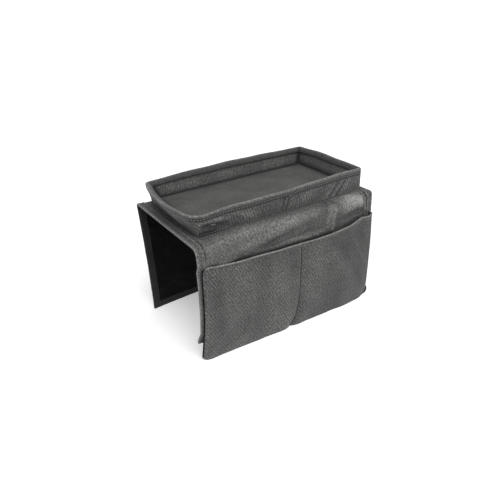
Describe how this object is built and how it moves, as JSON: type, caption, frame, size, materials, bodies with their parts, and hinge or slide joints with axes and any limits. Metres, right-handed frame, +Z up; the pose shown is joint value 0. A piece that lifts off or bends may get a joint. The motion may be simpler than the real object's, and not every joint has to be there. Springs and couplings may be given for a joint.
{
  "type": "sofa arm tray",
  "caption": "Cloth saddle that drapes over a sofa's arm, with a soft-walled rectangular tray on top, a divided pocket bag hanging in front and a plain flap behind.",
  "frame": {"origin": "the middle of the flat underside of the saddle's top, the face that rests on the sofa's arm", "axes": "+X along the arm, +Y towards the plain back flap (-Y towards the pockets), +Z up out of the tray"},
  "size_m": [0.3335, 0.2115, 0.2246],
  "materials": {
    "woven_cloth": "coarse plain weave, matte",
    "coated_cloth": "black coated inside, low sheen",
    "binding_cloth": "folded and stitched hem",
    "floor_cloth": "smooth fine weave, matte",
    "stiffener": "hidden board"
  },
  "bodies": {
    "tray_and_saddle_top": {"saddle_top": "woven_cloth", "front_fold": "woven_cloth", "back_fold": "woven_cloth", "facing_top": "woven_cloth", "facing_fold": "woven_cloth", "wall_cover_front": "woven_cloth", "wall_cover_back": "woven_cloth", "wall_cover_left": "woven_cloth", "wall_cover_right": "woven_cloth", "top_side_hems": "binding_cloth", "front_fold_hems": "binding_cloth", "back_fold_hems": "binding_cloth", "rim_binding": "binding_cloth", "corner_seams": "binding_cloth", "front_wall_seam": "binding_cloth", "tray_floor_pad": "floor_cloth", "wall_lining_front": "floor_cloth", "wall_lining_back": "floor_cloth", "wall_lining_left": "floor_cloth", "wall_lining_right": "floor_cloth", "tray_floor_board": "stiffener", "wall_board_front": "stiffener", "wall_board_back": "stiffener", "wall_board_left": "stiffener", "wall_board_right": "stiffener"},
    "front_flap_with_pockets": {"front_flap": "woven_cloth", "front_hem_left": "binding_cloth", "front_hem_right": "binding_cloth", "front_hem_bottom": "binding_cloth", "facing_front": "woven_cloth", "pocket_front_left": "woven_cloth", "pocket_front_right": "woven_cloth", "pocket_mouth_hem": "binding_cloth", "pocket_gusset_left": "coated_cloth", "pocket_gusset_right": "coated_cloth", "pocket_gusset_bottom": "coated_cloth", "pocket_divider": "coated_cloth"},
    "back_flap_body": {"back_flap": "woven_cloth", "back_hem_left": "binding_cloth", "back_hem_right": "binding_cloth", "back_hem_bottom": "binding_cloth"}
  },
  "joints": [
    {"name": "front_flap_fold", "type": "hinge", "parent": "tray_and_saddle_top", "child": "front_flap_with_pockets", "pos_m": [0, -0.085, -0.0104], "axis": [-1, 0, 0], "range_deg": [-25, 90], "deforming": ["front_fold", "front_fold_hems", "facing_fold"]},
    {"name": "back_flap_fold", "type": "hinge", "parent": "tray_and_saddle_top", "child": "back_flap_body", "pos_m": [0, 0.085, -0.0034], "axis": [1, 0, 0], "range_deg": [-25, 90], "deforming": ["back_fold", "back_fold_hems"]}
  ]
}
